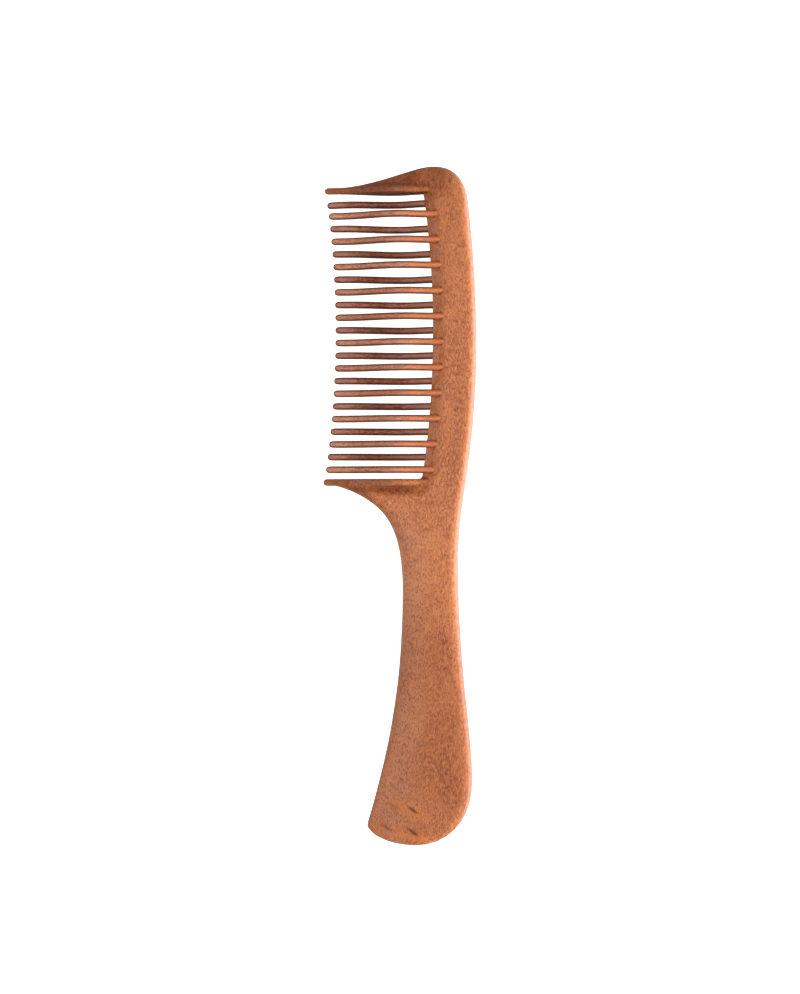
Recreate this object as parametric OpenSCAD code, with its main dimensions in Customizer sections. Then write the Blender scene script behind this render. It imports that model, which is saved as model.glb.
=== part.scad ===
// Wide tooth comb of turned and carved wood.
// One carved blank holds the handle, the spine, the crown and the two end guards.
// Two staggered rows of bowed round teeth are glued into blind sockets along the spine.
// The comb lies on its back: handle towards -Y, crown towards +Y, tooth tips towards -X,
// front face up. The origin is under the middle of the comb, at its lowest level.

/* [Blank] */
// Full thickness of the handle and the spine
plate_t = 9; // [7:0.5:11]
// Width of the rounding along the handle's edges
handle_round = 3.6; // [3.6:0.2:6]
// Width of the rounding along the spine's outer edge
spine_round = 2.8; // [2.4:0.2:5]
// Width of the bevelled nose that carries the teeth
nose_run = 4.2; // [3.6:0.1:5]

/* [Teeth] */
// Distance between neighbouring teeth, one from each row
tooth_pitch = 3.93; // [3.9:0.01:3.93]
// Free length of a tooth, from its tip to the spine
tooth_len = 30.5; // [30:0.1:31]
// Width of a tooth across the row
tooth_w = 2.25; // [2:0.05:2.5]
// Depth of a tooth at its root
root_depth = 3; // [2.2:0.1:3.2]
// How far each row bows out from the middle plane
bow = 5.4; // [3:0.1:6]
// How far the first back tooth leans towards its neighbour at the tip
first_lean = 0.7; // [0:0.1:0.9]

/* [Sockets] */
// Diameter of a tooth's tenon
tenon_d = 1.9; // [1.4:0.1:2]
// Length of a tenon inside the spine
tenon_len = 7; // [4:0.5:8]
// Glue gap round a tenon
glue_gap = 0.05; // [0.03:0.01:0.1]

/* [Hidden] */
// Number of teeth in each row, between the end guards
row_count = 11;
front_names = [for (i = [1:row_count]) str("front_tooth_", i < 10 ? "0" : "", i)];
back_names = [for (i = [1:row_count]) str("back_tooth_", i < 10 ? "0" : "", i)];

half_t = plate_t / 2;
bow_root = 2.75;
bow_start = 4;
bow_peak = 21.5;
bow_fall = 22.5;
bow_end = 31;
tip_r = tooth_w / 2;
mid_z = bow + root_depth / 2;

// Row of teeth: the middle of the row, the spine's edge there, and its gentle arc
arc_mid_y = 54;
arc_r = 310;
spine_mid_x = 10;
top_guard_y = arc_mid_y + 43.8;
low_guard_y = top_guard_y - (2 * row_count + 1) * tooth_pitch;
guard_inset = 0.25;
gap_top_y = top_guard_y - tip_r + guard_inset;
gap_low_y = low_guard_y + tip_r - guard_inset;
corner_r = 0.9;

function lerp(a, b, t) = a + (b - a) * t;
function ease(t) = let (u = min(1, max(0, t))) u * u * (3 - 2 * u);
function spine_x(y) = spine_mid_x - pow(y - arc_mid_y, 2) / (2 * arc_r);
function tooth_y(k) = top_guard_y - (k - 1) * tooth_pitch;

// Height of a tooth's centre line above the middle plane, at a distance from its tip
function bow_at(s) = bow * ease((s - bow_start) / (bow_peak - bow_start))
    - (bow - bow_root) * ease((s - bow_fall) / (bow_end - bow_fall));
// Half depth of a tooth, from its round tip to its root
function half_depth(s) = lerp(tip_r, root_depth / 2, ease((s - 2) / 14));

// ---- outline of the blank -------------------------------------------------
// Each outline point is [x, y, rounding width, half thickness, nose share, cove share].

function bezier(p, n) = [for (i = [0:n - 1]) let (t = i / n, u = 1 - t)
    u * u * u * p[0] + 3 * u * u * t * p[1] + 3 * u * t * t * p[2] + t * t * t * p[3]];
function arc(c, r, a0, a1, n) = [for (i = [0:n - 1]) let (a = lerp(a0, a1, i / n))
    c + r * [cos(a), sin(a)]];
function run(points, from, to) = [for (i = [0:len(points) - 1])
    concat(points[i], lerp(from, to, i / len(points)))];

handle_edge = [handle_round, half_t, 0, 0];
spine_edge = [spine_round, half_t, 0, 0];
crown_edge = [3.2, half_t, 0, 0];
corner_edge = [1.3, half_t, 0, 0];
butt_edge = [3.2, half_t, 0, 0];
nose_edge = [nose_run, half_t, 1, 0];

// An end guard's web: its thickness and width grow from the tip towards the spine
web_tip_x = -21.3;
web_tip_r = 0.85;
// Width of the hollow beside each guard, where there is room for all of it
top_cove = 4.3;
low_cove = 5.4;
// Share of a web's width that its outer rounding takes, and the share of its cove
web_round = 0.34;
web_cove = 0.46;
cove_growth = 0.14;
web_round_most = 3.8;
// Each web is [growth of its width along the guard, where it reaches full thickness]
top_web = [0.0075, 9];
low_web = [0.036, -6];
function web_half(x, web) = lerp(web_tip_r, half_t, ease((x - web_tip_x) / (web[1] - web_tip_x)));
function web_width(x, web) = 2 * web_tip_r + web[0] * pow(x - web_tip_x, 2);
function web_side(points, web, share, widest, cove) = [for (p = points)
    let (w = web_width(p[0], web), more = cove * cove_growth * (w - 2 * web_tip_r))
    [p[0], p[1], min(widest, share * w + more), web_half(p[0], web), 0, cove]];

butt_right = bezier([[4.6, -105], [17.2, -105], [22.5, -94.5], [22.5, -85]], 9);
handle_right = bezier([[22.5, -85], [22.5, -69], [18.1, -50], [18.1, -18]], 11);
neck_right = bezier([[18.1, -18], [18.1, -11], [18.8, -3.5], [19.8, 3]], 4);
spine_low = bezier([[19.8, 3], [21.6, 14.5], [23.8, 30], [23.8, 50]], 9);
spine_high = bezier([[23.8, 50], [23.8, 68], [22.4, 82], [21.5, 91]], 7);
crown = bezier([[21.5, 91], [20.4, 101], [17, 105], [10, 105]], 9);
web_top = bezier([[10, 105], [3.5, 105], [-7, 99.1], [web_tip_x, top_guard_y + web_tip_r]], 14);
tip_top = arc([web_tip_x, top_guard_y], web_tip_r, 90, 270, 4);
gap_top = [for (i = [0:10]) [lerp(web_tip_x, spine_x(gap_top_y) - corner_r, i / 11), gap_top_y]];
corner_top = arc([spine_x(gap_top_y) - corner_r, gap_top_y - corner_r], corner_r, 90, 0, 3);
nose_steps = 19;
nose_line = [for (i = [0:nose_steps - 1])
    let (y = lerp(gap_top_y - corner_r, gap_low_y + corner_r, i / nose_steps)) [spine_x(y), y]];
corner_low = arc([spine_x(gap_low_y) - corner_r, gap_low_y + corner_r], corner_r, 0, -90, 3);
gap_low = [for (i = [0:10]) [lerp(spine_x(gap_low_y) - corner_r, web_tip_x, i / 11), gap_low_y]];
tip_low = arc([web_tip_x, low_guard_y], web_tip_r, 90, 270, 4);
throat_web = bezier([[web_tip_x, low_guard_y - web_tip_r], [-16.5, 5.6], [-9.6, 2.6], [-5.6, -1.9]], 11);
throat = bezier([[-5.6, -1.9], [-1.9, -6], [0.6, -13], [0.6, -26]], 8);
handle_left = bezier([[0.6, -26], [0.6, -52], [-2.4, -71], [-10, -97.4]], 12);
butt_corner = bezier([[-10, -97.4], [-10.5, -99.2], [-10.2, -99.8], [-8.6, -100.9]], 4);
butt_left = bezier([[-8.6, -100.9], [-5.2, -103.2], [-0.4, -105], [4.6, -105]], 7);

throat_edge = [web_round_most, half_t, 0, 0];
neck_edge = [6, half_t, 0, 0];
outline = concat(
    run(butt_right, butt_edge, handle_edge),
    run(handle_right, handle_edge, handle_edge),
    run(neck_right, handle_edge, spine_edge),
    run(spine_low, spine_edge, spine_edge),
    run(spine_high, spine_edge, spine_edge),
    run(crown, spine_edge, crown_edge),
    web_side(web_top, top_web, web_round, crown_edge[0], 0),
    web_side(tip_top, top_web, web_round, crown_edge[0], 0),
    web_side(gap_top, top_web, web_cove, top_cove, 1),
    run(corner_top, [top_cove, half_t, 0, 1], nose_edge),
    run(nose_line, nose_edge, nose_edge),
    run(corner_low, nose_edge, [low_cove, half_t, 0, 1]),
    web_side(gap_low, low_web, web_cove, low_cove, 1),
    web_side(tip_low, low_web, web_round, web_round_most, 0),
    web_side(throat_web, low_web, web_round, web_round_most, 0),
    run(throat, throat_edge, neck_edge),
    run(handle_left, neck_edge, corner_edge),
    run(butt_corner, corner_edge, corner_edge),
    run(butt_left, corner_edge, butt_edge));
n_out = len(outline);

// Places along the outline where one stretch ends and the next begins
at_handle = len(butt_right);
at_neck = at_handle + len(handle_right);
at_spine = at_neck + len(neck_right) - 1;
at_crown = at_spine + 1 + len(spine_low) + len(spine_high);
at_top_web = at_crown + len(crown);
at_top_tip = at_top_web + len(web_top) + 2;
at_top_gap = at_top_tip + 2 + len(gap_top);
at_nose = at_top_gap + len(corner_top);
at_nose_end = at_nose + len(nose_line);
at_low_gap = at_nose_end + len(corner_low);
at_low_web = at_low_gap + 4;
at_low_tip = at_low_gap + len(gap_low) + 2;
at_throat = at_low_tip + 2 + len(throat_web);
at_left = at_throat + len(throat);
at_corner = at_left + len(handle_left);

// ---- rings that round the blank over from its middle plane to its faces ------
rings = 6;
edge_power = 2 / 3;
function edge_curve(j) = let (a = 90 * j / rings)
    [1 - pow(cos(a), edge_power), pow(sin(a), edge_power)];
// Bevelled nose: a blunt edge, a straight bevel and a soft shoulder
nose_curve = [[0, 0], [0.025, 0.2], [0.29, 0.45], [0.56, 0.7], [0.82, 0.944], [0.93, 0.99], [1, 1]];
// Cove beside an end guard: a wall, a hollow floor and a rise to the face
cove_curve = [[0, 0], [0.01, 0.33], [0.04, 0.55], [0.36, 0.58], [0.56, 0.66], [0.78, 0.86], [1, 1]];

function unit(v) = v / norm(v);
function ahead(i) = outline[(i + 1) % n_out];
function behind(i) = outline[(i + n_out - 1) % n_out];
function inward(i) = let (d = unit([ahead(i)[0] - behind(i)[0], ahead(i)[1] - behind(i)[1]]))
    [-d[1], d[0]];
function ring_point(i, j, side) = let (
    p = outline[i],
    edge = edge_curve(j),
    curve = edge * (1 - p[4] - p[5]) + nose_curve[j] * p[4] + cove_curve[j] * p[5],
    n = inward(i))
    [p[0] + n[0] * p[2] * curve[0], p[1] + n[1] * p[2] * curve[0], side * p[3] * curve[1]];

// Triangles between two lists of point numbers, stepping evenly along both
function steps_before(i, a, b) = ceil(((2 * i + 1) * b - a) / (2 * a));
function steps_up_to(j, a, b) = floor(((2 * j + 1) * a - b) / (2 * b)) + 1;
function zip(p, q) = let (a = len(p) - 1, b = len(q) - 1) concat(
    [for (i = [0:a - 1]) [p[i], p[i + 1], q[max(0, min(b, steps_before(i, a, b)))]]],
    [for (j = [0:b - 1]) [p[max(0, min(a, steps_up_to(j, a, b)))], q[j + 1], q[j]]]);
function distinct(tris) = [for (t = tris) if (t[0] != t[1] && t[1] != t[2] && t[2] != t[0]) t];
function flipped(tris) = [for (t = tris) [t[0], t[2], t[1]]];
function count(from, to) = [for (i = [0:abs(to - from)]) (from + (to > from ? i : -i)) % n_out];

// Ring 0 is shared; each face then has its own rings
function front_id(i, j) = j * n_out + i % n_out;
function back_id(i, j) = j == 0 ? i % n_out : (rings + j) * n_out + i % n_out;
blank_points = concat(
    [for (j = [0:rings]) for (i = [0:n_out - 1]) ring_point(i, j, 1)],
    [for (j = [1:rings]) for (i = [0:n_out - 1]) ring_point(i, j, -1)]);
face = concat(
    zip(count(n_out, at_corner), count(0, at_handle)),
    zip(count(at_corner, at_left), count(at_handle, at_neck)),
    zip(count(at_left, at_throat), count(at_neck, at_spine)),
    [[at_spine, at_throat, at_low_web]],
    [for (i = [at_low_gap:at_low_web - 1]) [at_spine, i + 1, i]],
    zip(count(at_throat, at_low_tip), count(at_low_web, at_low_tip)),
    zip(count(at_low_gap, at_nose), count(at_spine, at_crown)),
    zip(count(at_nose, at_top_gap), count(at_crown, at_top_web)),
    zip(count(at_top_gap, at_top_tip), count(at_top_web, at_top_tip)));
function band(i, j, side) = let (
    a = side > 0 ? front_id(i, j) : back_id(i, j),
    b = side > 0 ? front_id(i + 1, j) : back_id(i + 1, j),
    c = side > 0 ? front_id(i + 1, j + 1) : back_id(i + 1, j + 1),
    d = side > 0 ? front_id(i, j + 1) : back_id(i, j + 1))
    side > 0 ? [[a, c, b], [a, d, c]] : [[a, b, c], [a, c, d]];
blank_faces = concat(
    [for (side = [1, -1]) for (j = [0:rings - 1]) for (i = [0:n_out - 1])
        for (t = band(i, j, side)) t],
    [for (t = distinct(face)) [for (v = t) front_id(v, rings)]],
    [for (t = flipped(distinct(face))) [for (v = t) back_id(v, rings)]]);

module blank() {
    polyhedron(blank_points, blank_faces);
}

// ---- lofts along a tooth ------------------------------------------------------
sides = 12;
// A closed skin over rings of points, from a tip point to a flat last ring
module skin(tip, ring_list) {
    n = len(ring_list[0]);
    last = len(ring_list) - 1;
    points = concat([tip], [for (r = ring_list) for (p = r) p]);
    faces = concat(
        [for (i = [0:n - 1]) [0, 1 + i, 1 + (i + 1) % n]],
        [for (k = [0:last - 1]) for (i = [0:n - 1]) for (h = [0, 1])
            let (a = 1 + k * n + i, b = 1 + k * n + (i + 1) % n)
            h == 0 ? [a, b + n, b] : [a, a + n, b + n]],
        [[for (i = [n - 1:-1:0]) 1 + last * n + i]]);
    polyhedron(points, faces);
}

tip_angles = [30, 60, 90];
free_stations = [4.5, 7.5, 10.5, 13.5, 16.5, 19.5, 22.5, 25, 27.5];
// Distance from the spine's edge to the bevel's surface, at a height above the middle plane
bevel_low = [nose_curve[1][0] * nose_run, nose_curve[1][1] * half_t];
bevel_high = [nose_curve[4][0] * nose_run, nose_curve[4][1] * half_t];
seat_gap = 0.03;
function bevel_in(z) = let (share = (z - bevel_low[1]) / (bevel_high[1] - bevel_low[1]))
    lerp(bevel_low[0], bevel_high[0], share);

function tooth_ring(s, w, lean) = let (c = bow_at(s), h = half_depth(s) * w)
    [for (i = [0:sides - 1]) let (a = 360 * i / sides)
        [s, tip_r * w * cos(a) - lean * pow(1 - s / tooth_len, 2), c + h * sin(a)]];
function root_ring() = [for (i = [0:sides - 1]) let (
    a = 360 * i / sides,
    z = bow_root + root_depth / 2 * sin(a))
    [tooth_len + bevel_in(z) - seat_gap, tip_r * cos(a), z]];

// One tooth, from its tip at the origin along +X, bowed towards +Z
module tooth_blade(lean) {
    tip_rings = [for (a = tip_angles) tooth_ring(tip_r * (1 - cos(a)), sin(a), lean)];
    body_rings = [for (s = free_stations) tooth_ring(s, 1, lean)];
    skin([0, -lean, 0], concat(tip_rings, body_rings, [root_ring()]));
}

tenon_start = tooth_len - 0.2;
module tooth(lean = 0) {
    tooth_blade(lean);
    translate([tenon_start, 0, bow_root])
        rotate([0, 90, 0])
            cylinder(d = tenon_d, h = tooth_len + tenon_len - tenon_start, $fn = 32);
}

module place_tooth(k) {
    y = tooth_y(k);
    translate([spine_x(y) - tooth_len, y, mid_z])
        mirror([0, 0, k % 2 == 0 ? 1 : 0])
            children();
}

// A socket's bore starts clear of the nose and ends just past its tenon
bore_lead = 1;
bore_past = 0.3;
module sockets() {
    for (k = [2:2 * row_count + 1])
        place_tooth(k)
            translate([tooth_len - bore_lead, 0, bow_root])
                rotate([0, 90, 0])
                    cylinder(d = tenon_d + 2 * glue_gap, h = bore_lead + tenon_len + bore_past, $fn = 32);
}

// ---- end guards ------------------------------------------------------------
// A guard is as deep as both rows together, and each edge follows a row's bow
guard_root = 36;
guard_reach = 0.3;
guard_stations = [4.5, 7.5, 10.5, 13.5, 16.5, 19.5, 22.5, 25, 27.5, 30.5, guard_root];
function guard_ring(s, w) = let (
    top = bow_at(s) + half_depth(s) * w,
    r = tip_r * w)
    [for (i = [0:sides - 1]) let (a = 360 * (i + 0.5) / sides, z = (top - r) * sign(sin(a)))
        [s, r * cos(a), z + r * sin(a)]];
module guard() {
    tip_rings = [for (a = tip_angles) guard_ring(tip_r * (1 - cos(a)), sin(a))];
    skin([0, 0, 0], concat(tip_rings, [for (s = guard_stations) guard_ring(s, 1)]));
}

module comb_body() {
    color("#c67a50")
        difference() {
            union() {
                translate([0, 0, mid_z])
                    blank();
                for (y = [top_guard_y, low_guard_y])
                    translate([spine_x(y) - tooth_len - guard_reach, y, mid_z])
                        guard();
            }
            sockets();
        }
}

module front_tooth(i) {
    color("#b06540")
        place_tooth(2 * i + 1)
            tooth();
}

module back_tooth(i) {
    color("#7d4428")
        place_tooth(2 * i)
            tooth(i == 1 ? first_lean : 0);
}

comb_body();
for (i = [1:row_count]) {
    front_tooth(i);
    back_tooth(i);
}
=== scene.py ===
# Wide tooth comb: a carved wooden blank with two staggered rows of bowed teeth.
import math
import bmesh
import bpy
import numpy as np
from mathutils import Matrix, Vector, noise


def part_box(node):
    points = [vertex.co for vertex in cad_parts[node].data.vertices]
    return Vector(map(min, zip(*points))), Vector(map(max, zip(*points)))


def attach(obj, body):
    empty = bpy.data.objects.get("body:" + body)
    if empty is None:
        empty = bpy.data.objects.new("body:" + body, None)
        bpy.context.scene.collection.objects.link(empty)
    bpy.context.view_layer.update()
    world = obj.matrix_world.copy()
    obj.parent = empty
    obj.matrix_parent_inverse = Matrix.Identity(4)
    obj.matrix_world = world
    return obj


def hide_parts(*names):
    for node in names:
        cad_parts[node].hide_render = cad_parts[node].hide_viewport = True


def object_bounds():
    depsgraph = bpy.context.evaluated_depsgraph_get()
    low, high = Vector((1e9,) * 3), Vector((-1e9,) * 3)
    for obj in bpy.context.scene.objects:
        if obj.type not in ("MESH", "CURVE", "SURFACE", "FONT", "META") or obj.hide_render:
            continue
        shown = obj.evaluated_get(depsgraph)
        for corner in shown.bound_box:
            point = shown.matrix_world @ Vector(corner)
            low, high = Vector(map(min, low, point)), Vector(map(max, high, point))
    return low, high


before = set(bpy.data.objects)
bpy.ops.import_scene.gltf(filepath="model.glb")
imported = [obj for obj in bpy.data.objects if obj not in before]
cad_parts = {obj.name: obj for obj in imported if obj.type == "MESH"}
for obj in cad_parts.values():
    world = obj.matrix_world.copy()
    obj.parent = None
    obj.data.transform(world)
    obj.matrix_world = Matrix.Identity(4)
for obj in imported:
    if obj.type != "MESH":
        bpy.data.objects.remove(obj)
cadLow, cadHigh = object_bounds()
mm = 0.001
cadMid = (cadLow + cadHigh) / 2
cadSize = cadHigh - cadLow
rowCount = sum(1 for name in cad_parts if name.startswith("front_tooth"))
print("frame loaded,", len(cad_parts), "CAD nodes,", rowCount, "teeth in each row")

# metres and degrees
studio = {
    "lens": 82,                # millimetres
    "distance": 0.7,
    "tilt": 7,                 # towards the comb's outer edge
    "aimAlong": 2.9 * mm,      # aim point, towards the crown from the middle
    "clip": (0.01, 20),
    "floorSize": 6,
    "floorGap": 0.05 * mm,     # keeps the floor clear of the comb
    "floorTint": (0.8, 0.8, 0.8, 1),
    "floorRoughness": 0.9,
    "floorGloss": 0.1,
    "floorGlow": 0.93,
    "worldStrength": 0.28,
    "worldTint": (1.0, 0.99, 0.98, 1),
}
# each soft light's place from the comb's middle, its size in metres, its watts and its tint
lights = {
    "overheadSoft": {
        "at": (0.03, 0.02, 0.95), "size": (0.5, 0.7),
        "watts": 4.1, "tint": (1.0, 0.985, 0.96),
    },
    "edgeKey": {
        "at": (0.80, -0.16, 0.10), "size": (0.9, 0.2),
        "watts": 11.0, "tint": (1.0, 1.0, 1.0),
    },
    "leftFill": {
        "at": (-0.34, -0.05, 0.88), "size": (0.4, 0.7),
        "watts": 3.0, "tint": (0.92, 0.95, 1.0),
    },
}


def addCamera():
    data = bpy.data.cameras.new("studioCamera")
    camera = bpy.data.objects.new("studioCamera", data)
    bpy.context.scene.collection.objects.link(camera)
    angle = math.radians(studio["tilt"])
    back = Vector((math.sin(angle), 0, math.cos(angle)))
    up = Vector((0, 1, 0))
    camera.location = cadMid + up * studio["aimAlong"] + back * studio["distance"]
    camera.rotation_mode = "QUATERNION"
    camera.rotation_quaternion = Matrix((up.cross(back), up, back)).transposed().to_quaternion()
    data.lens = studio["lens"]
    data.clip_start, data.clip_end = studio["clip"]
    bpy.context.scene.camera = camera


def addLights():
    for name, spec in lights.items():
        data = bpy.data.lights.new(name, "AREA")
        data.shape = "RECTANGLE"
        data.size, data.size_y = spec["size"]
        data.energy = spec["watts"]
        data.color = spec["tint"]
        lamp = bpy.data.objects.new(name, data)
        bpy.context.scene.collection.objects.link(lamp)
        away = Vector(spec["at"])
        lamp.location = cadMid + away
        lamp.rotation_mode = "QUATERNION"
        lamp.rotation_quaternion = (-away).to_track_quat("-Z", "Y")
    world = bpy.data.worlds.new("studioWorld")
    world.use_nodes = True
    glow = world.node_tree.nodes["Background"]
    glow.inputs["Color"].default_value = studio["worldTint"]
    glow.inputs["Strength"].default_value = studio["worldStrength"]
    bpy.context.scene.world = world
    bpy.context.scene.view_settings.view_transform = "Standard"


def addFloor():
    mesh = bpy.data.meshes.new("studioFloor")
    bm = bmesh.new()
    bmesh.ops.create_grid(bm, x_segments=4, y_segments=4, size=studio["floorSize"] / 2)
    bmesh.ops.translate(bm, vec=(0, 0, cadLow.z - studio["floorGap"]), verts=bm.verts)
    bm.to_mesh(mesh)
    bm.free()
    floor = bpy.data.objects.new("studioFloor", mesh)
    bpy.context.scene.collection.objects.link(floor)
    paper = bpy.data.materials.new("palePaper")
    paper.use_nodes = True
    tree = paper.node_tree
    face = tree.nodes["Principled BSDF"]
    face.inputs["Base Color"].default_value = studio["floorTint"]
    face.inputs["Roughness"].default_value = studio["floorRoughness"]
    face.inputs["Specular IOR Level"].default_value = studio["floorGloss"]
    face.inputs["Emission Color"].default_value = (1, 1, 1, 1)
    face.inputs["Emission Strength"].default_value = studio["floorGlow"]
    # the sheet shows from above only, so that the comb's back can be looked at
    clear = tree.nodes.new("ShaderNodeBsdfTransparent")
    pick = tree.nodes.new("ShaderNodeMixShader")
    side = tree.nodes.new("ShaderNodeNewGeometry")
    tree.links.new(side.outputs["Backfacing"], pick.inputs["Fac"])
    tree.links.new(face.outputs["BSDF"], pick.inputs[1])
    tree.links.new(clear.outputs["BSDF"], pick.inputs[2])
    tree.links.new(pick.outputs["Shader"], tree.nodes["Material Output"].inputs["Surface"])
    mesh.materials.append(paper)
    floor.visible_diffuse = False


addCamera()
addLights()
addFloor()
print("studio ready")

# colours, grain and finish of the carved body
carvedLook = {
    "deep": (0.32, 0.072, 0.017),
    "mid": (0.47, 0.127, 0.032),
    "pale": (0.62, 0.215, 0.072),
    "pore": (0.155, 0.036, 0.006),
    "edge": (0.15, 0.036, 0.011),      # painted shade in creases, along the dark outlines and between the roots
    "shade": (0.47, 0.41, 0.47),       # how far the painted shade in hollows and on the crown's top, and the darker guards, spine and lower handle, darken it
    "highlightTint": (0.86, 0.54, 0.42),         # painted highlight along the right edge, where the key light catches it
    "sheenAndBleach": (0.46, 0.215, 0.145),      # painted grey sheen on the handle's left, painted highlight on the guards' tips, and pale patches behind the gaps
    "halo": (0.66, 0.185, 0.030),
    "streak": (0.15, 0.034, 0.003),
    "grainRun": (1.0, 0.5, 1.0),       # below 1 draws the pattern out that way
    "grainTurn": 5,                    # degrees
    "fibreRun": (1.0, 0.42, 1.0),
    "fibreTurn": 3,
    "blotchScale": 80,
    "mottleScale": 950,
    "fibreScale": 1750,
    "poreScale": 2975,
    "deepToMid": (0.36, 0.50),         # bands of the noise over which one tone turns into the next
    "midToPale": (0.48, 0.64),
    "fleckBand": (0.42, 0.64),
    "fleckAmount": 0.75,
    "poreBand": (0.50, 0.68),
    "poreAmount": 0.54,
    "wearAndSheen": 0.30,
    "paintedShade": 0.85,
    "roughness": (0.40, 0.58),
    "roughBand": (0.3, 0.7),
    "paintedShadeRough": 0.6,                 # how much rougher the painted shade in creases, and the painted shade and darkening elsewhere, make it
    "shadeAndDarkeningRough": 0.4,
    "gloss": 0.36,
    "refraction": 1.5,
    "bump": 0.7,
    "bumpDepth": 0.25 * mm,
}
toothLook = dict(
    carvedLook,
    grainRun=(0.3, 1.0, 1.0),
    fibreRun=(0.22, 1.0, 1.0),
    poreAmount=0.4,
    # how far the painted sheen lightens the tips
    wearAndSheen=0.8,
    toneAmount=0.4,                    # how far one tooth may be darker than the next
    roughness=(0.28, 0.40),
)
frontLook = dict(
    toothLook,
    deep=(0.36, 0.103, 0.044),
    mid=(0.53, 0.184, 0.092),
    pale=(0.62, 0.275, 0.165),
    # painted shade along the teeth's outlines
    edge=(0.11, 0.028, 0.014),
    root=(0.58, 0.168, 0.052),
)
# the back row: a darker copy of the tooth colours, painted shade where its teeth bow away behind the
# front row
shadedBackLook = dict(
    toothLook,
    deep=(0.16, 0.031, 0.010),
    mid=(0.28, 0.057, 0.018),
    pale=(0.44, 0.168, 0.102),
    # painted shade along the teeth's outlines
    edge=(0.05, 0.012, 0.007),
    # painted light: the roots turn lighter where they come out of the shade
    root=(0.46, 0.175, 0.105),
)

# natural flecks near the butt and the paler wood round them: place as a share of the comb's box,
# half length and half width in mm, and turn in degrees
figureStreaks = [
    {"at": (0.610, 0.0600, 0.75), "size": (3.0, 0.72), "turn": -38, "strength": 0.95},
    {"at": (0.610, 0.0270, 0.75), "size": (3.4, 0.78), "turn": -38, "strength": 0.95},
    {"at": (0.480, 0.0650, 0.75), "size": (3.2, 1.10), "turn": -30, "strength": 0.35},
    {"at": (0.435, 0.0330, 0.75), "size": (3.4, 1.00), "turn": -34, "strength": 0.50},
]
figureHalos = [
    {"at": (0.530, 0.0640, 0.75), "size": (5.4, 2.6), "turn": -12, "strength": 0.75},
    {"at": (0.640, 0.0520, 0.75), "size": (4.6, 2.4), "turn": -16, "strength": 0.75},
    {"at": (0.540, 0.0240, 0.75), "size": (6.0, 2.4), "turn": -16, "strength": 0.75},
    {"at": (0.660, 0.0180, 0.75), "size": (4.0, 2.0), "turn": -30, "strength": 0.75},
    {"at": (0.400, 0.0300, 0.75), "size": (5.0, 2.6), "turn": -28, "strength": 0.55},
]
figure = {
    "depth": 14 * mm,
    "wander": 1.4 * mm,
    "wanderScale": 260,
    "haloCore": 0.0,       # the part of a spot that is at full strength
    "streakCore": 0.2,
}


def plug(tree, socket, value):
    if isinstance(value, bpy.types.NodeSocket):
        tree.links.new(value, socket)
    elif isinstance(value, tuple) and socket.type == "RGBA":
        socket.default_value = (*value, 1)
    else:
        socket.default_value = value


def mapping(tree, source, scale=(1, 1, 1), turn=0):
    node = tree.nodes.new("ShaderNodeMapping")
    plug(tree, node.inputs["Vector"], source)
    node.inputs["Scale"].default_value = scale
    node.inputs["Rotation"].default_value = (0, 0, math.radians(turn))
    return node.outputs["Vector"]


def grainNoise(tree, source, scale, detail=2, rough=0.5, warp=0.0):
    node = tree.nodes.new("ShaderNodeTexNoise")
    plug(tree, node.inputs["Vector"], source)
    node.inputs["Scale"].default_value = scale
    node.inputs["Detail"].default_value = detail
    node.inputs["Roughness"].default_value = rough
    node.inputs["Distortion"].default_value = warp
    return node.outputs["Fac"]


def span(tree, source, low, high, toLow=0.0, toHigh=1.0):
    node = tree.nodes.new("ShaderNodeMapRange")
    node.interpolation_type = "SMOOTHSTEP"
    plug(tree, node.inputs["Value"], source)
    node.inputs["From Min"].default_value = low
    node.inputs["From Max"].default_value = high
    node.inputs["To Min"].default_value = toLow
    node.inputs["To Max"].default_value = toHigh
    return node.outputs["Result"]


def maths(tree, job, a, b, clamp=False):
    node = tree.nodes.new("ShaderNodeMath")
    node.operation = job
    node.use_clamp = clamp
    plug(tree, node.inputs[0], a)
    plug(tree, node.inputs[1], b)
    return node.outputs["Value"]


def vectorMaths(tree, job, a, b):
    node = tree.nodes.new("ShaderNodeVectorMath")
    node.operation = job
    plug(tree, node.inputs[0], a)
    plug(tree, node.inputs[1], b)
    return node


def blend(tree, amount, a, b, way="MIX"):
    node = tree.nodes.new("ShaderNodeMix")
    node.data_type = "RGBA"
    node.blend_type = way
    plug(tree, node.inputs["Factor"], amount)
    plug(tree, node.inputs[6], a)
    plug(tree, node.inputs[7], b)
    return node.outputs[2]


def attribute(tree, name):
    node = tree.nodes.new("ShaderNodeAttribute")
    node.attribute_name = name
    return node.outputs["Fac"]


def softSpots(tree, where, spots, core):
    # slanting ellipses that fade out from a core
    total = None
    for spot in spots:
        centre = Vector([cadLow[i] + spot["at"][i] * cadSize[i] for i in range(3)])
        near = vectorMaths(tree, "SUBTRACT", where, centre).outputs["Vector"]
        along = mapping(tree, near, turn=-spot["turn"])
        halfLong, halfWide = spot["size"]
        shrunk = mapping(tree, along, (1 / (halfLong * mm), 1 / (halfWide * mm), 1 / figure["depth"]))
        reach = vectorMaths(tree, "LENGTH", shrunk, (0, 0, 0)).outputs["Value"]
        mask = span(tree, reach, core, 1.0, spot["strength"], 0.0)
        total = mask if total is None else maths(tree, "MAXIMUM", total, mask)
    return total


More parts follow.
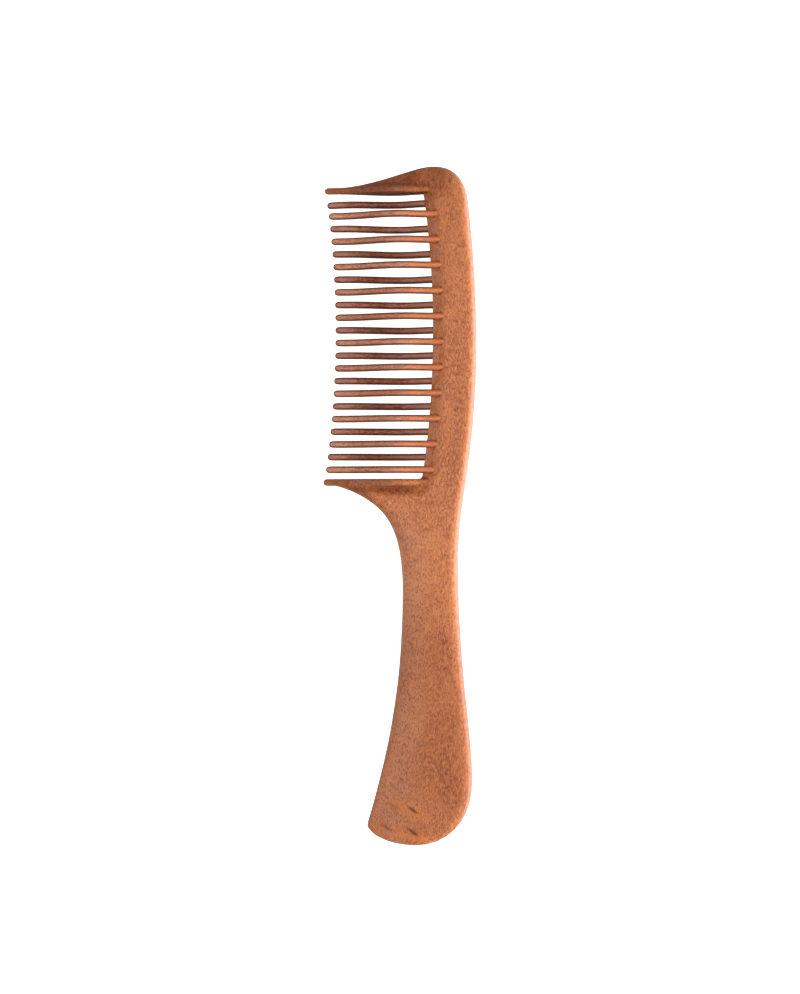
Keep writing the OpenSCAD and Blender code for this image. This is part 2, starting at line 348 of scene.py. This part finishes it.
def addFigure(tree, where, colour, look):
    # the flecks wander a little, as grown wood does
    drift = tree.nodes.new("ShaderNodeTexNoise")
    plug(tree, drift.inputs["Vector"], where)
    drift.inputs["Scale"].default_value = figure["wanderScale"]
    reach = (figure["wander"],) * 3
    step = vectorMaths(tree, "MULTIPLY", drift.outputs["Color"], reach).outputs["Vector"]
    bent = vectorMaths(tree, "ADD", where, step).outputs["Vector"]
    colour = blend(tree, softSpots(tree, bent, figureHalos, figure["haloCore"]), colour, look["halo"])
    return blend(tree, softSpots(tree, bent, figureStreaks, figure["streakCore"]), colour, look["streak"])


def makeWood(name, look, carved):
    wood = bpy.data.materials.new(name)
    wood.use_nodes = True
    tree = wood.node_tree
    shader = tree.nodes["Principled BSDF"]
    where = tree.nodes.new("ShaderNodeTexCoord").outputs["Object"]
    grainWay = mapping(tree, where, look["grainRun"], look["grainTurn"])
    fibreWay = mapping(tree, where, look["fibreRun"], look["fibreTurn"])
    blotch = grainNoise(tree, grainWay, look["blotchScale"], detail=3, rough=0.6, warp=0.6)
    mottle = grainNoise(tree, grainWay, look["mottleScale"], detail=3, rough=0.62, warp=0.4)
    fibre = grainNoise(tree, fibreWay, look["fibreScale"], rough=0.6)
    pores = grainNoise(tree, fibreWay, look["poreScale"], detail=1)

    # grown colour: slow blotches, fine mottle, pale fibres and dark pores
    grown = maths(tree, "MULTIPLY", maths(tree, "ADD", blotch, mottle), 0.5)
    colour = blend(tree, span(tree, grown, *look["deepToMid"]), look["deep"], look["mid"])
    colour = blend(tree, span(tree, grown, *look["midToPale"]), colour, look["pale"])
    if carved:
        # painted grey sheen on the handle's left and painted highlight on the guards' tips, with pale
        # patches behind the gaps
        colour = blend(tree, attribute(tree, "sheenAndBleach"), colour, look["sheenAndBleach"])
        # painted highlight along the right edge
        colour = blend(tree, attribute(tree, "rimHighlight"), colour, look["highlightTint"])
    flecks = span(tree, fibre, *look["fleckBand"], 0.0, look["fleckAmount"])
    colour = blend(tree, flecks, colour, look["pale"])
    poreMask = span(tree, pores, *look["poreBand"], 0.0, look["poreAmount"])
    colour = blend(tree, poreMask, colour, look["pore"])

    # figure flecks, wear, tone and root colour, with painted shade, painted sheen and darkening laid over
    # the grain
    wearAndSheen = span(tree, attribute(tree, "wearAndSheen"), 0.0, 1.0, 0.0, look["wearAndSheen"])
    paintedShade = span(tree, attribute(tree, "paintedShade"), 0.0, 1.0, 0.0, look["paintedShade"])
    if carved:
        colour = addFigure(tree, where, colour, look)
        # painted shade in the hollows and on the crown's top, plus darker guards, upper spine and lower
        # handle
        colour = blend(tree, attribute(tree, "shadeAndDarkening"), colour, look["shade"], "MULTIPLY")
        colour = blend(tree, wearAndSheen, colour, look["pale"])
    else:
        tone = span(tree, attribute(tree, "tone"), 0.0, 1.0, 0.0, look["toneAmount"])
        colour = blend(tree, tone, colour, look["deep"])
        # painted sheen towards the teeth's tips
        colour = blend(tree, wearAndSheen, colour, look["pale"])
        # the roots turn more orange; on the back row they turn lighter, painted light out of the shade
        colour = blend(tree, attribute(tree, "root"), colour, look["root"])
    # painted shade in creases, along the outlines and between the roots
    colour = blend(tree, paintedShade, colour, look["edge"])
    plug(tree, shader.inputs["Base Color"], colour)

    rough = span(tree, mottle, *look["roughBand"], *look["roughness"])
    rough = maths(tree, "ADD", rough, maths(tree, "MULTIPLY", paintedShade, look["paintedShadeRough"]), True)
    if carved:
        shadeAndDarkening = maths(tree, "MULTIPLY", attribute(tree, "shadeAndDarkening"), look["shadeAndDarkeningRough"])
        rough = maths(tree, "ADD", rough, shadeAndDarkening, True)
    plug(tree, shader.inputs["Roughness"], rough)
    shader.inputs["Specular IOR Level"].default_value = look["gloss"]
    shader.inputs["IOR"].default_value = look["refraction"]

    bump = tree.nodes.new("ShaderNodeBump")
    bump.inputs["Strength"].default_value = look["bump"]
    bump.inputs["Distance"].default_value = look["bumpDepth"]
    height = maths(tree, "SUBTRACT", maths(tree, "ADD", fibre, mottle), poreMask)
    plug(tree, bump.inputs["Height"], height)
    plug(tree, shader.inputs["Normal"], bump.outputs["Normal"])
    return wood


carvedWood = makeWood("carvedWood", carvedLook, True)
frontToothWood = makeWood("frontToothWood", frontLook, False)
shadedBackToothWood = makeWood("shadedBackToothWood", shadedBackLook, False)
print("wood ready")

# a pair is a band: no effect at its first value, and the whole effect at its second
bodyShape = {
    "voxel": 0.40 * mm,
    "smoothPasses": 9,
    "rubIn": 0.5,                            # each pass in is followed by a slightly longer one out
    "rubOut": -0.53,
    "handWaver": 0.05 * mm,                  # how far the carved surface wanders
    "waverLength": 14 * mm,
    "halfThick": 4.5 * mm,
    "station": 1 * mm,                       # spacing at which the body's width is read
    "leastWidth": 4 * mm,                    # taken where the body is narrower than that
    "facesFall": 0.09,                       # how much the faces fall away towards the handle's edges
    "facesFallAlong": (6 * mm, -18 * mm),
    "crownThin": 0.30,                       # how much the top of the crown is thinned
    "crownThinAlong": (93 * mm, cadHigh.y),
    "crownThinAcross": (19 * mm, 9 * mm),
    "edgeTrim": 0.38 * mm,                   # wood planed off the outer edge
    "edgeTrimAlong": (99 * mm, 90 * mm),
    "buttTrim": 0.40 * mm,                   # and off the butt, its corner and the crown
    "buttTrimAcross": (-6 * mm, 3 * mm),
    "buttTrimAlong": (-92 * mm, -103 * mm),
    "cornerTrim": 0.55 * mm,
    "cornerTrimAcross": (-7.5 * mm, -10 * mm),
    "crownTrim": 0.22 * mm,
    "crownTrimAlong": (95 * mm, 104 * mm),
    "rubShare": 0.6,                         # how far one rub moves a point to its neighbours' middle
    "filletPasses": 34,                      # rubbing that rounds the hollows out
    "filletSpread": 8,
    "filletBend": 0.02 * mm,                 # a hollow this sharp is rubbed in full
    "filletBeyond": 0.5 * mm,                # how soon the rubbing sets in past a guard's middle
    "filletAcross": (8.5 * mm, 6.5 * mm),
    "filletAlong": (-5 * mm, 2 * mm),
    "nosePasses": 16,                        # rubbing that blends the nose into the spine
    "noseStart": (1.2 * mm, 2.4 * mm),       # depths behind the gaps
    "noseEnd": (7 * mm, 5 * mm),
    "noseInset": (1 * mm, 2 * mm),           # distances in from the guards' middles
}
# where painted shade, painted highlight, painted sheen, wear, pale patches and other darkening change the
# body's colour, and how much each place counts
bodyShadeAndMarks = {
    "besideAcross": (7 * mm, 2 * mm),        # painted shade in the hollows beside the guards
    "besideAlong": (-6 * mm, 4 * mm),
    "hollowRise": (0.98, 0.72),              # share of the half thickness
    "hollowLevel": (0.95, 0.7),              # how far the surface turns to the side
    "ridgeOff": (2.0 * mm, 0.9 * mm),        # distances from a guard's middle
    "ridgeAcross": (10 * mm, 0),
    "ridgeRise": (0.3, 0.6),
    "topAlong": (91 * mm, 101 * mm),         # painted shade on the crown's top
    "topAcross": (21 * mm, 11 * mm),
    "spineAlong": (50 * mm, 90 * mm),
    "lowerHandleFrom": (-18 * mm, -46 * mm),        # darker towards the butt
    "lowerHandleTo": (-104 * mm, -99 * mm),
    # painted shade for the hollows and the crown's top; the guards, spine and lower handle only darken
    "shadeAndDarkening": {"hollow": 0.85, "ridge": 0.45, "top": 0.52, "spine": 0.12, "lowerHandle": 0.36},
    "patchLength": 2.4 * mm,
    "leftSheenAlong": (4 * mm, -14 * mm),          # painted grey sheen on the handle's left
    "leftSheenAcross": (0.62, 0.12),
    "leftSheenPatches": 0.6,
    "bleachDepth": (6 * mm, 3 * mm),         # pale patches behind the gaps
    "bleachLevel": 0.35,
    "bleachPatches": 0.9,
    # painted highlight on the guards' tips
    "guardTipAcross": (2 * mm, -14 * mm),
    "sheenAndBleach": {"leftSheen": 0.44, "bleach": 0.6, "guardTip": 0.5},
    "wearBend": 0.03 * mm,                   # an edge this sharp is worn in full
    "rimHighlight": 0.55,
    "rimHighlightFacing": (0.62, 0.94),            # painted highlight: how squarely the surface looks to the right, towards the key light
    "rimHighlightAcross": (2 * mm, 6 * mm),
    "outlineLevel": (0.88, 1.0),             # painted shade: the dark line along the left side, turned from the light
    "outlineFacing": (0.45, -0.1),
    "outlineShade": 0.8,
    "rootShadeDepth": (5 * mm, 1.5 * mm),         # painted shade between the roots of the teeth
    "rootShadePatches": 0.9,
    "creaseBend": 0.05 * mm,                 # a crease this sharp gets the full painted shade
}


def newPiece(name, mesh, node, material):
    piece = bpy.data.objects.new(name, mesh)
    bpy.context.scene.collection.objects.link(piece)
    mesh.materials.clear()
    mesh.materials.append(material)
    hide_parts(node)
    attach(piece, "root")
    return piece


def readPoints(mesh):
    points = np.empty(len(mesh.vertices) * 3)
    mesh.vertices.foreach_get("co", points)
    return points.reshape(-1, 3)


def writePoints(mesh, points):
    mesh.vertices.foreach_set("co", points.ravel())
    mesh.update()


def readEdges(mesh):
    edges = np.empty(len(mesh.edges) * 2, int)
    mesh.edges.foreach_get("vertices", edges)
    return edges.reshape(-1, 2)


def readNormals(mesh):
    normals = np.empty(len(mesh.vertices) * 3)
    mesh.vertex_normals.foreach_get("vector", normals)
    return normals.reshape(-1, 3)


def writeValues(mesh, name, values):
    layer = mesh.attributes.new(name, "FLOAT", "POINT")
    layer.data.foreach_set("value", np.clip(values, 0, 1).astype(np.float32))


def soften(values, low, high):
    # 0 at low, 1 at high, and a smooth rise between them
    t = np.clip((values - low) / (high - low), 0, 1)
    return t * t * (3 - 2 * t)


def neighbourMean(values, edges):
    total = np.zeros_like(values)
    count = np.zeros(len(values))
    for a, b in ((0, 1), (1, 0)):
        np.add.at(total, edges[:, a], values[edges[:, b]])
        np.add.at(count, edges[:, a], 1)
    return total / count.reshape((-1,) + (1,) * (values.ndim - 1))


def bendOf(mesh, passes):
    # how sharply the surface turns: above 0 on ridges, below 0 in hollows
    points = readPoints(mesh)
    edges = readEdges(mesh)
    bend = ((points - neighbourMean(points, edges)) * readNormals(mesh)).sum(1)
    for _ in range(passes):
        bend = neighbourMean(bend, edges)
    return bend


def outline(points):
    # the body's left and right edges at the height of every point
    x, y = points[:, 0], points[:, 1]
    step = bodyShape["station"]
    row = ((y - cadLow.y) / step).astype(int).clip(0, int(cadSize.y / step))
    left = np.full(row.max() + 1, 1.0)
    right = np.full(row.max() + 1, -1.0)
    np.minimum.at(left, row, x)
    np.maximum.at(right, row, x)
    place = (y - cadLow.y) / step - 0.5
    order = np.arange(len(left))
    return np.interp(place, order, left), np.interp(place, order, right)


def guardLines():
    # the middle lines of the two end guards, from the places of the outermost teeth
    def middle(number):
        low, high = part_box("front_tooth_%02d" % number)
        return (low.y + high.y) / 2
    pitch = (middle(1) - middle(2)) / 2
    return middle(rowCount) - pitch, middle(1) + 2 * pitch


def blockOut():
    # the CAD body as one even skin, ready to be rubbed down
    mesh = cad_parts["comb_body"].data.copy()
    bm = bmesh.new()
    bm.from_mesh(mesh)
    bmesh.ops.remove_doubles(bm, verts=bm.verts, dist=0.001 * mm)
    bm.to_mesh(mesh)
    bm.free()
    body = newPiece("carved_body", mesh, "comb_body", carvedWood)
    block = body.modifiers.new("block", "REMESH")
    block.mode = "VOXEL"
    block.voxel_size = bodyShape["voxel"]
    shape = bpy.data.meshes.new_from_object(body.evaluated_get(bpy.context.evaluated_depsgraph_get()))
    body.modifiers.clear()
    body.data = shape
    shape.name = "carved_body"
    shape.materials.clear()
    shape.materials.append(carvedWood)
    shape.polygons.foreach_set("use_smooth", [True] * len(shape.polygons))
    return body


def planeFaces(points):
    # the handle's faces fall away from its middle line, and the crown thins towards its top
    x, y = points[:, 0], points[:, 1]
    left, right = outline(points)
    off = (x - (left + right) / 2) / np.maximum(right - left, bodyShape["leastWidth"]) * 2
    drop = bodyShape["facesFall"] * np.clip(np.abs(off), 0, 1) ** 2
    drop *= soften(y, *bodyShape["facesFallAlong"])
    thin = soften(y, *bodyShape["crownThinAlong"]) * soften(x, *bodyShape["crownThinAcross"])
    drop += bodyShape["crownThin"] * thin
    points[:, 2] = cadMid.z + (points[:, 2] - cadMid.z) * (1 - drop)
    edgeTrim = bodyShape["edgeTrim"] * soften(off, 0.0, 1.0)
    points[:, 0] -= edgeTrim * soften(y, *bodyShape["edgeTrimAlong"])
    buttTrim = bodyShape["buttTrim"] * soften(x, *bodyShape["buttTrimAcross"])
    buttTrim += bodyShape["cornerTrim"] * soften(x, *bodyShape["cornerTrimAcross"])
    points[:, 1] += buttTrim * soften(y, *bodyShape["buttTrimAlong"])
    points[:, 1] -= bodyShape["crownTrim"] * soften(y, *bodyShape["crownTrimAlong"])


def rub(points, edges, amount, passes):
    for _ in range(passes):
        step = neighbourMean(points, edges) - points
        points += bodyShape["rubShare"] * amount[:, None] * step


def rubHollows(mesh, points, edges):
    # hollows are filled to a soft fillet, and ridges keep their edges
    lowGuard, topGuard = guardLines()
    x, y = points[:, 0], points[:, 1]
    near = bodyShape["filletBeyond"]
    beyond = np.maximum(soften(y, lowGuard, lowGuard - near), soften(y, topGuard, topGuard + near))
    beyond *= soften(x, *bodyShape["filletAcross"]) * soften(y, *bodyShape["filletAlong"])
    amount = np.clip(-bendOf(mesh, 2) / bodyShape["filletBend"], 0, 1) * beyond
    for _ in range(bodyShape["filletSpread"]):
        amount = np.maximum(amount, neighbourMean(amount, edges)) * soften(beyond, 0.0, 0.5)
    rub(points, edges, amount, bodyShape["filletPasses"])


def noseBand(points):
    # how deep each point lies behind the left edge, and whether it is between the guards
    lowGuard, topGuard = guardLines()
    deep = points[:, 0] - outline(points)[0]
    y = points[:, 1]
    none, whole = bodyShape["noseInset"]
    between = soften(y, lowGuard + none, lowGuard + whole)
    between *= soften(y, topGuard - none, topGuard - whole)
    return deep, between


def blendNose(points, edges):
    # the bevelled nose runs into the spine without a line
    deep, between = noseBand(points)
    amount = between * soften(deep, *bodyShape["noseStart"]) * soften(deep, *bodyShape["noseEnd"])
    rub(points, edges, amount, bodyShape["nosePasses"])


def shadeAndMarkBody(mesh, points):
    marks = bodyShadeAndMarks
    x, y = points[:, 0], points[:, 1]
    normals = readNormals(mesh)
    facing = normals[:, 0]
    level = np.hypot(normals[:, 0], normals[:, 1])
    rise = np.abs(points[:, 2] - cadMid.z) / bodyShape["halfThick"]
    bend = bendOf(mesh, 3)
    left, right = outline(points)
    across = np.clip((x - left) / np.maximum(right - left, bodyShape["leastWidth"]), 0, 1)
    lowGuard, topGuard = guardLines()
    offGuard = np.minimum(np.abs(y - lowGuard), np.abs(y - topGuard))
    deep, between = noseBand(points)
    patches = np.array([noise.noise(Vector(p) / marks["patchLength"]) for p in points])

    # painted shade in the hollows beside the guards and on the crown's top; the guards, upper spine and
    # lower handle are darker
    beside = soften(x, *marks["besideAcross"]) * soften(y, *marks["besideAlong"])
    hollow = soften(rise, *marks["hollowRise"]) * soften(level, *marks["hollowLevel"]) * beside
    ridge = soften(offGuard, *marks["ridgeOff"]) * soften(x, *marks["ridgeAcross"])
    ridge *= soften(rise, *marks["ridgeRise"])
    places = {
        "hollow": hollow * (1 - ridge),
        "ridge": ridge,
        "top": soften(y, *marks["topAlong"]) * soften(x, *marks["topAcross"]),
        "spine": soften(y, *marks["spineAlong"]),
        "lowerHandle": soften(y, *marks["lowerHandleFrom"]) * soften(y, *marks["lowerHandleTo"]),
    }
    writeValues(mesh, "shadeAndDarkening", sum(places[name] * share for name, share in marks["shadeAndDarkening"].items()))

    # painted grey sheen on the handle's left, pale patches behind the gaps, and painted highlight on the
    # guards' tips
    leftSheen = soften(y, *marks["leftSheenAlong"]) * soften(across, *marks["leftSheenAcross"])
    bleach = between * soften(deep, *marks["bleachDepth"])
    places = {
        "leftSheen": leftSheen * (1 + marks["leftSheenPatches"] * patches),
        "bleach": bleach * np.clip(marks["bleachLevel"] - marks["bleachPatches"] * patches, 0, 1),
        "guardTip": ridge * soften(x, *marks["guardTipAcross"]),
    }
    writeValues(mesh, "sheenAndBleach", sum(places[name] * share for name, share in marks["sheenAndBleach"].items()))

    # painted highlight on the surfaces facing the key light at the right
    rimLit = soften(facing, *marks["rimHighlightFacing"]) * soften(x, *marks["rimHighlightAcross"])
    writeValues(mesh, "rimHighlight", marks["rimHighlight"] * rimLit)
    writeValues(mesh, "wearAndSheen", np.clip(bend / marks["wearBend"], 0, 1) * (1 - ridge))

    # painted shade: darker in creases, along the left outline turned from the light, and in patches
    # between the roots of the teeth
    crease = np.clip(-bend / marks["creaseBend"], 0, 1)
    outlined = soften(level, *marks["outlineLevel"]) * soften(facing, *marks["outlineFacing"])
    rootShade = between * soften(deep, *marks["rootShadeDepth"]) * np.clip(marks["rootShadePatches"] * patches, 0, 1)
    writeValues(mesh, "paintedShade", crease + marks["outlineShade"] * outlined + rootShade)


def carveBody():
    mesh = blockOut().data
    edges = readEdges(mesh)
    points = readPoints(mesh)
    for _ in range(bodyShape["smoothPasses"]):
        for step in (bodyShape["rubIn"], bodyShape["rubOut"]):
            points += step * (neighbourMean(points, edges) - points)
    planeFaces(points)
    writePoints(mesh, points)
    rubHollows(mesh, points, edges)
    blendNose(points, edges)
    writePoints(mesh, points)
    # a carver's hand leaves slow waves in the faces
    waves = np.array([noise.noise(Vector(p) / bodyShape["waverLength"]) for p in points])
    points += readNormals(mesh) * (waves * bodyShape["handWaver"])[:, None]
    points = np.clip(points, list(cadLow), list(cadHigh))
    writePoints(mesh, points)
    shadeAndMarkBody(mesh, points)
    print("body carved,", len(mesh.polygons), "faces")


carveBody()

# along a tooth, from its tip, in millimetres
toothShape = {
    "sides": 16,
    "tipRadius": 1.125,
    "tipRings": (18, 38, 60, 90),      # degrees round the tip
    "stations": (3, 5, 7.5, 10, 12.5, 15, 17.5, 20, 22.5, 24.5, 26.5, 28.5),
    "bowRise": (4, 21.5),
    "bowFall": (22.5, 31),
    "bowRoot": 2.75,
    "deepening": (2, 16),
    "rootDepth": 3.0,
    "freeLength": 30.5,
    "proud": 0.12,                     # how far the root stands off the nose
    # past the free length: along, half width, half depth, and how far the ring leans with the nose
    "rootRings": (
        (0.35, 1.14, 1.56, 0.45),
        (1.65, 1.15, 1.66, 0.85),
        (2.12, 1.12, 1.62, 0.98),
        (2.50, 1.00, 1.42, 1.00),
        (2.60, 0.94, 0.94, 0.20),
        (6.70, 0.94, 0.94, 0.00),
        (6.90, 0.80, 0.80, 0.00),
    ),
    "roundLevels": 2,
}


def ease(s, limits):
    t = min(1, max(0, (s - limits[0]) / (limits[1] - limits[0])))
    return t * t * (3 - 2 * t)


def bowAt(s, bow):
    # a tooth swings out to its full bow and comes back part of the way at its root
    rise = bow * ease(s, toothShape["bowRise"])
    return rise - (bow - toothShape["bowRoot"]) * ease(s, toothShape["bowFall"])


def depthAt(s):
    tip = toothShape["tipRadius"]
    return tip + (toothShape["rootDepth"] / 2 - tip) * ease(s, toothShape["deepening"])


def setRing(bm, ring, state, centre, wide, deep):
    ratio = Vector((1, wide / state["wide"], deep / state["deep"]))
    bmesh.ops.scale(bm, vec=ratio, space=Matrix.Translation(-state["centre"]), verts=ring)
    bmesh.ops.translate(bm, vec=centre - state["centre"], verts=ring)
    state.update(centre=centre, wide=wide, deep=deep)


def loopOf(bm, ring):
    inside = set(ring)
    return [e for e in bm.edges if e.verts[0] in inside and e.verts[1] in inside]


def nextRing(bm, ring, state, centre, wide, deep):
    made = bmesh.ops.extrude_edge_only(bm, edges=loopOf(bm, ring))["geom"]
    ring = [v for v in made if isinstance(v, bmesh.types.BMVert)]
    setRing(bm, ring, state, centre, wide, deep)
    return ring


def fixOrder(bm):
    # an extrusion stores its edges and faces in an order that changes from run to run
    weights = Vector((1e6, 1e3, 1))
    bm.verts.sort(key=lambda vert: vert.co.dot(weights))
    bm.edges.sort(key=lambda edge: (edge.verts[0].co + edge.verts[1].co).dot(weights))
    bm.faces.sort(key=lambda face: face.calc_center_median().dot(weights))


def toothMesh(name, low, high, side):
    shape = toothShape
    radius = shape["tipRadius"]
    bow = (cadSize.z / mm - shape["rootDepth"]) / 2
    lean = (high.y - low.y) / mm - 2 * radius
    rowY = high.y / mm - radius

    def spot(s):
        sideways = rowY - lean * (1 - s / shape["freeLength"]) ** 2
        return Vector((low.x / mm + s, sideways, cadMid.z / mm + side * bowAt(s, bow)))

    bm = bmesh.new()
    bmesh.ops.create_circle(bm, cap_ends=True, segments=shape["sides"], radius=1)
    upright = Matrix.Rotation(math.radians(-90), 3, "Y")
    bmesh.ops.rotate(bm, cent=(0, 0, 0), matrix=upright, verts=bm.verts)
    ring = list(bm.verts)
    state = {"centre": Vector((0, 0, 0)), "wide": 1, "deep": 1}
    for number, degrees in enumerate(shape["tipRings"]):
        angle = math.radians(degrees)
        centre = spot(radius * (1 - math.cos(angle)))
        wide = radius * math.sin(angle)
        if number == 0:
            setRing(bm, ring, state, centre, wide, wide)
        else:
            ring = nextRing(bm, ring, state, centre, wide, wide)
    for s in shape["stations"]:
        ring = nextRing(bm, ring, state, spot(s), radius, depthAt(s))

    # the root leans with the bevel of the nose and runs on as a tenon
    leaning = 0.0
    for along, wide, deep, lift in shape["rootRings"]:
        height = cadMid.z / mm + side * (shape["bowRoot"] + shape["proud"])
        centre = Vector((low.x / mm + shape["freeLength"] + along, rowY, height))
        ring = nextRing(bm, ring, state, centre, wide, deep)
        shear = Matrix.Identity(4)
        shear[0][2] = side * (lift - leaning)
        bmesh.ops.transform(bm, matrix=shear, space=Matrix.Translation(-centre), verts=ring)
        leaning = lift
    bmesh.ops.edgeloop_fill(bm, edges=loopOf(bm, ring))
    bmesh.ops.scale(bm, vec=(mm, mm, mm), verts=bm.verts)
    bmesh.ops.recalc_face_normals(bm, faces=bm.faces)
    fixOrder(bm)
    for face in bm.faces:
        face.smooth = True
    mesh = bpy.data.meshes.new(name)
    bm.to_mesh(mesh)
    bm.free()
    return mesh


# the bands are shares of a tooth's free length, except the one for how far the surface turns sideways
toothRows = {
    # each row's share of painted sheen towards its tips, and where its roots change colour
    "front": {"side": 1, "wood": frontToothWood, "wearAndSheen": 0.25, "rootBand": (0.62, 1.05)},
    "back": {"side": -1, "wood": shadedBackToothWood, "wearAndSheen": 0.75, "rootBand": (0.66, 0.92)},
}
toothShadeAndMarks = {
    "tipSheenBand": (0.34, 0.06),
    "rootAmount": 0.85,
    "paintedShadeLevel": (0.40, 0.88),
    "paintedShadeBand": (1.07, 0.98),
    "toneStride": 37,                  # keeps neighbouring teeth from having neighbouring tones
}


def shadeAndMarkTooth(mesh, low, row, tone):
    points = readPoints(mesh)
    normals = readNormals(mesh)
    out = (points[:, 0] - low.x) / (toothShape["freeLength"] * mm)
    level = np.hypot(normals[:, 0], normals[:, 1])
    writeValues(mesh, "tone", np.full(len(points), tone))
    # painted sheen towards the tips, more on the shaded back row
    writeValues(mesh, "wearAndSheen", soften(out, *toothShadeAndMarks["tipSheenBand"]) * row["wearAndSheen"])
    # towards the roots the colour changes; on the back row this is painted light out of the front row's
    # shade
    writeValues(mesh, "root", toothShadeAndMarks["rootAmount"] * soften(out, *row["rootBand"]))
    # painted shade along each tooth's sideways-facing outlines, short of the root
    paintedShade = soften(level, *toothShadeAndMarks["paintedShadeLevel"]) * soften(out, *toothShadeAndMarks["paintedShadeBand"])
    writeValues(mesh, "paintedShade", paintedShade)


def shapeTooth(rowName, number, tone):
    row = toothRows[rowName]
    node = "%s_tooth_%02d" % (rowName, number)
    name = "%s_row_%02d" % (rowName, number)
    low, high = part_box(node)
    mesh = toothMesh(name, low, high, row["side"])
    shadeAndMarkTooth(mesh, low, row, tone)
    piece = newPiece(name, mesh, node, row["wood"])
    skin = piece.modifiers.new("skin", "SUBSURF")
    skin.levels = skin.render_levels = toothShape["roundLevels"]


for number in range(1, rowCount + 1):
    tone = (number * toothShadeAndMarks["toneStride"] % rowCount) / rowCount
    shapeTooth("front", number, tone)
    shapeTooth("back", number, 1 - tone)
print("teeth shaped,", 2 * rowCount)

bpy.context.view_layer.update()
